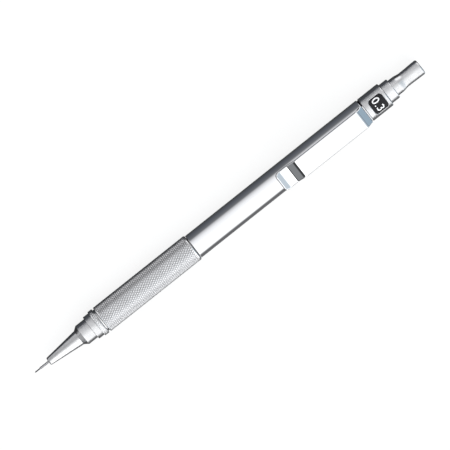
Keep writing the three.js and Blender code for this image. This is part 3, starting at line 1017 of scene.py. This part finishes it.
class Tree:
    """A node tree being made."""

    def __init__(self, tree):
        self.tree = tree

    def add(self, kind, **settings):
        node = self.tree.nodes.new(kind)
        for key, value in settings.items():
            setattr(node, key, value)
        return node

    def link(self, source, target):
        self.tree.links.new(source, target)

    def give(self, values, sockets):
        """Each socket gets a link or a value of its own."""
        for value, socket in zip(values, sockets):
            if isinstance(value, bpy.types.NodeSocket):
                self.link(value, socket)
            else:
                socket.default_value = (*value, 1) if isinstance(value, tuple) else value

    def maths(self, operation, *values):
        node = self.add("ShaderNodeMath", operation=operation)
        self.give(values, node.inputs)
        return node.outputs["Value"]

    def mixed(self, factor, dark, light):
        """A colour between two, each a colour or a socket."""
        node = self.add("ShaderNodeMix", data_type="RGBA")
        self.link(factor, node.inputs["Factor"])
        self.give((dark, light), [s for s in node.inputs if s.type == "RGBA"])
        return next(s for s in node.outputs if s.type == "RGBA")

    def ramp(self, factor, reach, stops):
        """A colour ramp of (place, number or colour), with places from -reach to reach."""
        node = self.add("ShaderNodeValToRGB")
        elements = node.color_ramp.elements
        while len(elements) < len(stops):
            elements.new(0.5)
        for element, (place, light) in zip(elements, stops):
            element.position = (place + reach) / (2 * reach)
            element.color = (*(light if isinstance(light, tuple) else (light, light, light)), 1)
        self.link(factor, node.inputs["Fac"])
        return node.outputs["Color"]


class Look(Tree):
    """A material being made: its node tree and its shader."""

    def __init__(self, name, colour, metallic, roughness):
        self.material = bpy.data.materials.new(name)
        self.material.use_nodes = True
        super().__init__(self.material.node_tree)
        self.shader = self.tree.nodes["Principled BSDF"]
        self.shader.inputs["Base Color"].default_value = (*colour, 1)
        self.shader.inputs["Metallic"].default_value = metallic
        self.shader.inputs["Roughness"].default_value = roughness
        self.place = self.add("ShaderNodeTexCoord").outputs["Object"]

    def noise(self, scale, detail, stretch=(1, 1, 1)):
        """Noise whose features are 1 / scale metres, divided by the stretch along each axis."""
        mapping = self.add("ShaderNodeMapping")
        mapping.inputs["Scale"].default_value = [scale * s for s in stretch]
        self.link(self.place, mapping.inputs["Vector"])
        texture = self.add("ShaderNodeTexNoise")
        texture.inputs["Scale"].default_value = 1.0
        texture.inputs["Detail"].default_value = detail
        self.link(mapping.outputs["Vector"], texture.inputs["Vector"])
        return texture.outputs["Fac"]

    def between(self, factor, low, high, start=0.3, end=0.7):
        """A number that goes from low to high as the factor goes from start to end."""
        node = self.add("ShaderNodeMapRange")
        self.give((factor, start, end, low, high), node.inputs)
        return node.outputs["Result"]

    def bump(self, height, strength, depth, over=None):
        """A bump of a height texture, depth in metres, over another bump if one is given."""
        node = self.add("ShaderNodeBump")
        node.inputs["Strength"].default_value = strength
        node.inputs["Distance"].default_value = depth
        self.link(height, node.inputs["Height"])
        if over is not None:
            self.link(over, node.inputs["Normal"])
        return node.outputs["Normal"]

    def vector(self, operation, source, *second):
        node = self.add("ShaderNodeVectorMath", operation=operation)
        self.link(source, node.inputs[0])
        if second:
            node.inputs[1].default_value = second
        return node.outputs

    def radius(self):
        """Distance from the pencil's axis, in metres."""
        shifted = self.vector("SUBTRACT", self.place, 0, 0, AXIS_Z)["Vector"]
        flat = self.vector("MULTIPLY", shifted, 0, 1, 1)["Vector"]
        return self.vector("LENGTH", flat)["Value"]

    def edges(self):
        """1 on outer edges, where a painted highlight goes."""
        pointiness = self.add("ShaderNodeNewGeometry").outputs["Pointiness"]
        return self.between(pointiness, 0, 1, 0.5, 0.56)

    def use(self, name, socket):
        self.link(socket, self.shader.inputs[name])


def satin_metal():
    """Metal off a lathe: fine rings round it, cloudy plating, and a painted highlight that makes
    the outer edges lighter.
    """
    dark = (0.41, 0.413, 0.42)
    light = (0.48, 0.483, 0.49)
    look = Look("satin_metal", light, 1, 0.2)
    rings = look.noise(9000, 2, (1, 0.015, 0.015))
    clouds = look.noise(350, 4)
    colour = look.mixed(look.between(clouds, 0, 1), dark, light)
    edge_highlight_colour = tuple(c * 1.25 for c in light)
    tangent = look.add("ShaderNodeTangent", direction_type="RADIAL", axis="X")
    look.use("Tangent", tangent.outputs["Tangent"])
    look.shader.inputs["Anisotropic"].default_value = 0.75
    look.shader.inputs["Anisotropic Rotation"].default_value = 0.25
    # Painted highlight: the colour is a quarter lighter on outer edges.
    look.use("Base Color", look.mixed(look.edges(), colour, edge_highlight_colour))
    look.use("Roughness", look.between(rings, 0.2, 0.27))
    look.use("Normal", look.bump(rings, 0.5, 2e-6))
    return look.material


def mirror_chrome():
    """Polished plating with faint smears, a few hairlines and a slightly uneven skin, with painted
    shade, near black, in the gap between the barrel and the cap ring.
    """
    look = Look("mirror_chrome", (0.56, 0.565, 0.58), 1, 0.05)
    smears = look.noise(160, 5, (0.4, 1, 1))
    hairlines = look.noise(2500, 1, (0.06, 1.4, 1.4))
    skin = look.noise(500, 2)
    clean = look.between(smears, 0.025, 0.075, 0.35, 0.75)
    scratched = look.between(hairlines, 0, 0.04, 0.7, 0.78)
    look.use("Roughness", look.maths("ADD", clean, scratched))
    skin_colour = look.mixed(look.between(smears, 0, 1), (0.54, 0.547, 0.56), (0.575, 0.58, 0.59))
    # Painted shade: the colour goes near black below a radius of 3.65 mm, in the gap between the
    # barrel and the cap ring.
    clear_of_painted_gap_shade = look.between(look.radius(), 0, 1, 3.65 * MM, 3.75 * MM)
    look.use("Base Color", look.mixed(clear_of_painted_gap_shade, (0.03, 0.03, 0.033), skin_colour))
    look.use("Normal", look.bump(skin, 0.15, 2e-6))
    return look.material


def knurled_metal():
    """Satin plating on the knurl, rougher in the grooves. The grooves' dark colour is painted
    shade; the points keep the lighter plating colour, with patches of wear.
    """
    look = Look("knurled_metal", (0.6, 0.6, 0.61), 1, 0.3)
    crest = look.between(look.radius(), 0, 1, (GRIP_R - KNURL_DEPTH) * MM, GRIP_R * MM)
    grain = look.noise(14000, 2)
    wear = look.noise(260, 3)
    points = look.mixed(look.between(wear, 0, 1), (0.56, 0.563, 0.57), (0.66, 0.662, 0.67))
    # Painted shade: the colour darkens towards the bottom of the knurl's grooves.
    look.use("Base Color", look.mixed(crest, (0.26, 0.26, 0.267), points))
    look.use("Roughness", look.between(crest, 0.36, 0.24, 0, 1))
    look.use("Normal", look.bump(grain, 0.12, 3e-6))
    return look.material


def matt(name, dark, light, tones, roughness, grain, relief, patches=(0.3, 0.7), metallic=0):
    """Patches in the colour, and a grain in the roughness and the relief. tones and grain are
    what noise takes, relief is what bump takes, and patches is where light begins and ends."""
    look = Look(name, light, metallic, roughness[0])
    pattern = look.noise(*grain)
    share = look.between(look.noise(*tones), 0, 1, *patches)
    look.use("Base Color", look.mixed(share, dark, light))
    look.use("Roughness", look.between(pattern, *roughness))
    look.use("Normal", look.bump(pattern, *relief))
    return look.material


def drawn_metal(name, dark, light, roughness):
    """Bright drawn or machined metal with lines along it and a little tarnish."""
    limits = (roughness * 0.8, roughness * 1.3)
    lines = (12000, 2, (0.03, 1, 1))
    return matt(name, dark, light, (600, 4), limits, lines, (0.3, 2e-6), metallic=1)


def graphite():
    look = Look("graphite", (0.045, 0.045, 0.05), 0.35, 0.5)
    grain = look.noise(25000, 3)
    streaks = look.noise(9000, 2, (0.05, 1, 1))
    share = look.between(grain, 0, 1)
    look.use("Base Color", look.mixed(share, (0.03, 0.03, 0.034), (0.075, 0.075, 0.082)))
    look.use("Roughness", look.between(streaks, 0.38, 0.6))
    look.use("Normal", look.bump(grain, 0.3, 4e-6))
    return look.material


# Name: dark, light, tones, roughness, grain, relief and, where it isn't the usual one, patches.
MATT = {
    "black_rubber": (
        (0.012, 0.012, 0.013), (0.03, 0.03, 0.031), (900, 5), (0.6, 0.85), (12000, 4),
        (0.4, 8e-6),
    ),
    "magazine_plastic": (
        (0.7, 0.71, 0.715), (0.79, 0.8, 0.8), (700, 3, (0.1, 1, 1)), (0.32, 0.48), (9000, 2),
        (0.2, 4e-6),
    ),
    "eraser_rubber": (
        (0.87, 0.87, 0.85), (0.62, 0.62, 0.61), (500, 4), (0.65, 0.9), (7000, 5), (0.5, 2e-5),
        (0.45, 0.8),
    ),
    "label_black": (
        (0.008, 0.008, 0.01), (0.03, 0.03, 0.033), (9000, 4), (0.2, 0.3), (1200, 3),
        (0.1, 5e-6), (0.55, 0.8),
    ),
    "numeral_paint": (
        (0.86, 0.86, 0.86), (0.95, 0.95, 0.95), (8000, 3), (0.38, 0.55), (8000, 3), (0.2, 4e-6),
    ),
}
DRAWN = {
    "sleeve_steel": ((0.2, 0.2, 0.21), (0.3, 0.3, 0.31), 0.25),
    "spring_steel": ((0.33, 0.34, 0.36), (0.46, 0.47, 0.48), 0.3),
    "brass": ((0.6, 0.43, 0.17), (0.8, 0.61, 0.29), 0.28),
}


def make_looks():
    looks = {
        "satin_metal": satin_metal(),
        "knurled_metal": knurled_metal(),
        "mirror_chrome": mirror_chrome(),
        "graphite": graphite(),
    }
    looks.update({name: drawn_metal(name, *recipe) for name, recipe in DRAWN.items()})
    looks.update({name: matt(name, *recipe) for name, recipe in MATT.items()})
    label = looks["label_black"].node_tree.nodes["Principled BSDF"]
    label.inputs["Specular IOR Level"].default_value = 0.15
    return looks


# ---------- the pencil ----------

PIECES = (
    writing_lead, lead_sleeve, nose_cone, core_sleeve, clutch_ring, chuck_joint, eraser_holder,
    eraser, push_button, end_collar, cap_ring, size_label, grip, barrel_joint, clip,
)  # each is named as its CAD node is
SPARE_LEADS = ("spare_lead_1", "spare_lead_2", "spare_lead_3")
SHARP = {"grip": math.radians(12), "cap_ring": math.radians(35)}


def build_pencil(looks):
    shapes = {piece.__name__: piece() for piece in PIECES}
    shapes.update({node: plain_pipe(node) for node in PIPES})
    shapes.update({node: spare_lead(node) for node in SPARE_LEADS})
    for node, shape in shapes.items():
        stand_for(new_object(node + "_fine", shape, SHARP.get(node)), node, looks)
    stand_for(chuck(), "chuck", looks)
    spring = stand_for(new_object("clutch_spring_fine", clutch_spring()), "clutch_spring", looks)
    squash_spring(spring)
    crease = math.radians(40)
    tab = new_object("clip_tab", clip_tab(), crease)
    add_trim(tab, "clip_ring", "mirror_chrome", looks)
    add_trim(new_object("label_rim", label_rim()), "size_label", "satin_metal", looks)
    for i, shape in enumerate(numerals()):
        mark = new_object(f"size_mark_{i + 1}", shape, crease)
        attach(mark, frame["nodes"]["size_label"]["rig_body"])
        mark.data.materials.append(looks["numeral_paint"])


def squash_spring(spring):
    """Gives the spring a mesh of its own."""
    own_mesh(spring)


# ---------- stage ----------


def floor():
    """A wide pale floor just under the pencil, which glows, so that shadows on it are faint.
    Polished metal doesn't mirror it."""
    half = 3.0
    glow = 0.82
    clearance = 0.02 * MM
    corners = ((-half, -half), (half, -half), (half, half), (-half, half))
    verts = [(x, y, cad_low.z - clearance) for x, y in corners]
    obj = new_object("floor", (verts, [(0, 1, 2, 3)]))
    light = (0.16, 0.16, 0.16)
    look = Look("pale_floor", light, 0, 0.8)
    share = look.between(look.noise(30, 2), 0, 1)
    look.use("Base Color", look.mixed(share, (0.15, 0.15, 0.15), light))
    look.shader.inputs["Emission Color"].default_value = (1, 1, 1, 1)
    look.shader.inputs["Emission Strength"].default_value = glow
    obj.data.materials.append(look.material)
    obj.visible_glossy = False


# What the studio shows in each direction about the pencil's axis: degrees from straight up
# towards -Y, then the light's colour. The sky is brighter on the -Y side. First for directions
# square to the axis, where a dark camera and its stand are, then for those a little towards the
# tip and towards the button.
ROUND_THE_MIDDLE = [
    (-180, 0.12), (-158, (0.08, 0.085, 0.09)), (-140, (0.11, 0.118, 0.13)),
    (-112, (0.163, 0.175, 0.2)), (-94, (0.217, 0.225, 0.25)), (-80, (0.3, 0.31, 0.32)),
    (-74, (0.6, 0.6, 0.62)), (-67, (0.95, 0.95, 0.97)), (-55, (1.32, 1.32, 1.34)),
    (-42, (1.6, 1.6, 1.62)), (-15, 1.85), (75, 1.95), (82, 1.1), (89, (0.4, 0.4, 0.41)),
    (98, (0.22, 0.22, 0.225)), (145, (0.27, 0.27, 0.275)), (180, 0.12),
]
ROUND_THE_FRONT = [
    (-180, 0.08), (-125, (0.05, 0.05, 0.055)), (-106, (0.04, 0.04, 0.043)),
    (-98, (0.95, 0.95, 0.97)), (-80, (1.15, 1.15, 1.17)), (-60, (0.7, 0.7, 0.71)),
    (-45, (0.58, 0.58, 0.59)), (-30, (0.68, 0.68, 0.69)), (-12, 1.5), (5, 3.0), (16, 3.6),
    (92, 3.6), (102, 0.9), (112, 0.2), (180, 0.08),
]
ROUND_THE_REAR = [
    (-180, 0.1), (-125, (0.08, 0.08, 0.085)), (-110, (0.1, 0.1, 0.105)),
    (-100, (1.9, 1.9, 1.92)), (-78, (2.6, 2.6, 2.62)), (-60, (1.2, 1.2, 1.21)),
    (-35, (0.9, 0.9, 0.91)), (-12, 2.2), (5, 3.5), (92, 3.8), (102, 0.9), (112, 0.25),
    (180, 0.1),
]
# For each X of a direction: how much of the front and of the rear there is, what stands at the
# two ends of the studio, and how much of that there is.
TO_THE_FRONT = [(-0.2, 1), (-0.1, 0)]
TO_THE_REAR = [(0.08, 0), (0.18, 1)]
AT_THE_ENDS = [
    (-1.0, (0.8, 0.8, 0.81)), (-0.88, (0.76, 0.76, 0.77)), (-0.78, (0.45, 0.46, 0.47)),
    (-0.68, (0.4, 0.41, 0.42)), (-0.6, (0.08, 0.08, 0.083)), (-0.2, (0.08, 0.08, 0.083)),
    (0.2, (1.0, 1.11, 1.2)), (0.58, (0.97, 1.08, 1.17)), (0.8, (0.35, 0.43, 0.5)),
    (0.93, (0.54, 0.7, 0.83)), (1.0, (0.56, 0.72, 0.855)),
]
TO_THE_ENDS = [(-0.42, 1), (-0.34, 0), (0.14, 0), (0.35, 1)]
# The part of the way round the axis where the two ends show.
ENDS_HEIGHT = [(-40, 0), (-12, 1), (120, 1), (140, 0)]


def studio():
    """Soft light from all round and above, and white for the camera to see past the floor."""
    world = bpy.data.worlds.new("studio")
    bpy.context.scene.world = world
    world.use_nodes = True
    world.node_tree.nodes.clear()
    tree = Tree(world.node_tree)
    parts = tree.add("ShaderNodeSeparateXYZ")
    tree.link(tree.add("ShaderNodeTexCoord").outputs["Generated"], parts.inputs["Vector"])
    x, y, z = parts.outputs
    angle = tree.maths("ARCTAN2", tree.maths("MULTIPLY", y, -1.0), z)
    turn = tree.maths("MULTIPLY_ADD", angle, 0.5 / math.pi, 0.5)
    along = tree.maths("MULTIPLY_ADD", x, 0.5, 0.5)
    around = tree.ramp(turn, 180, ROUND_THE_MIDDLE)
    for share, light in ((TO_THE_FRONT, ROUND_THE_FRONT), (TO_THE_REAR, ROUND_THE_REAR)):
        around = tree.mixed(tree.ramp(along, 1, share), around, tree.ramp(turn, 180, light))
    near_end = tree.ramp(along, 1, TO_THE_ENDS)
    share = tree.maths("MULTIPLY", near_end, tree.ramp(turn, 180, ENDS_HEIGHT))
    around = tree.mixed(share, around, tree.ramp(along, 1, AT_THE_ENDS))
    choice = tree.add("ShaderNodeMixShader")
    tree.link(tree.add("ShaderNodeLightPath").outputs["Is Camera Ray"], choice.inputs["Fac"])
    for socket, colour in ((choice.inputs[1], around), (choice.inputs[2], (1, 1, 1))):
        light = tree.add("ShaderNodeBackground")
        tree.give([colour], [light.inputs["Color"]])
        tree.link(light.outputs["Background"], socket)
    output = tree.add("ShaderNodeOutputWorld")
    tree.link(choice.outputs["Shader"], output.inputs["Surface"])


def camera():
    """Looks down on the clip from a little to the +Y side, with the tip at the lower left."""
    toward = Vector((0, math.sin(CAMERA_TILT), math.cos(CAMERA_TILT)))
    upward = Vector((0, math.cos(CAMERA_TILT), -math.sin(CAMERA_TILT)))
    along = Vector((1, 0, 0))
    right = along * math.cos(CAMERA_ROLL) - upward * math.sin(CAMERA_ROLL)
    up = along * math.sin(CAMERA_ROLL) + upward * math.cos(CAMERA_ROLL)
    centre = Vector((FRONT + VIEW_CENTRE * MM, 0, AXIS_Z)) - upward * VIEW_LIFT * MM
    distance = VIEW_WIDTH * MM * LENS / SENSOR
    data = bpy.data.cameras.new("camera")
    data.lens = LENS
    data.sensor_width = SENSOR
    data.clip_start = 0.01
    data.clip_end = 20
    obj = bpy.data.objects.new("camera", data)
    bpy.context.scene.collection.objects.link(obj)
    turn = Matrix((right, up, toward)).transposed().to_4x4()
    obj.matrix_world = Matrix.Translation(centre + toward * distance) @ turn
    bpy.context.scene.camera = obj


camera()
studio()
floor()
build_pencil(make_looks())
bpy.context.scene.view_settings.view_transform = "Standard"
